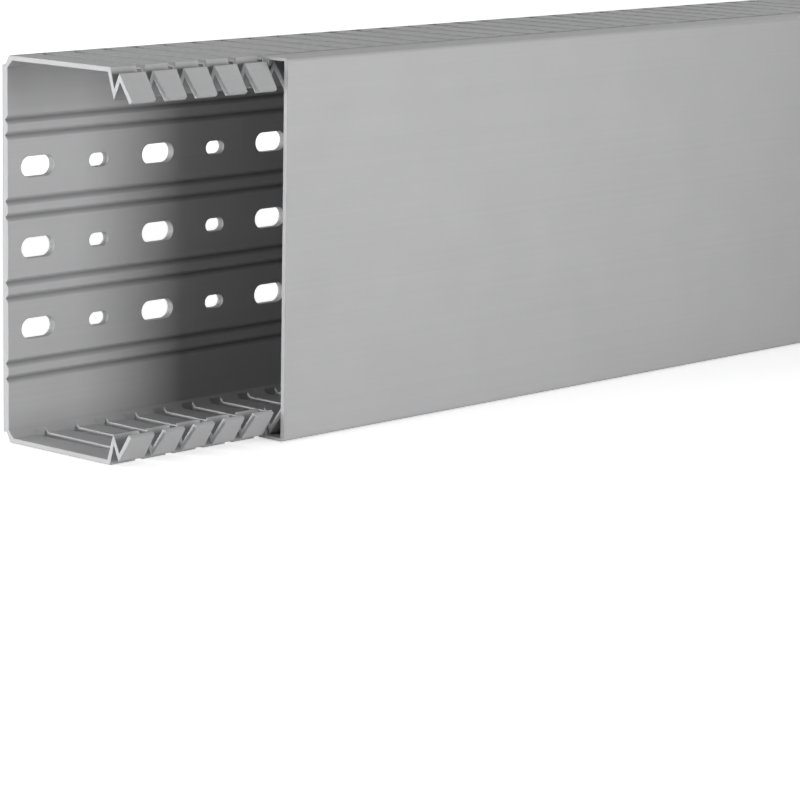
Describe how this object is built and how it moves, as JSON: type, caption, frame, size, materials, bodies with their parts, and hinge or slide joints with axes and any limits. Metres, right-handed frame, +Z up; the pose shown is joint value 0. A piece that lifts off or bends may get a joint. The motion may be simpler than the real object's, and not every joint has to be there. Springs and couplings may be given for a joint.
{
  "type": "slotted wire duct",
  "caption": "Grey plastic slotted wire duct: a trough with slotted side walls, hooked fingers and a perforated back, and a flat clip-on cover slid part way along it.",
  "frame": {"origin": "middle of the footprint, on the floor that the lower slotted wall stands on", "axes": "+X along the duct from its open end to the end where the cover stands out, -Y towards the covered front, +Y towards the perforated back, +Z up"},
  "size_m": [0.562, 0.06, 0.119],
  "materials": {
    "duct_plastic": "satin extruded rigid plastic, stone grey",
    "cover_plastic": "satin extruded rigid plastic, stone grey"
  },
  "bodies": {
    "base": {"duct_base": "duct_plastic"},
    "cover": {"duct_cover": "cover_plastic"}
  },
  "joints": [
    {"name": "cover_slide", "type": "slide", "parent": "base", "child": "cover", "axis": [1, 0, 0], "range_m": [-0.062, 0.188]}
  ]
}
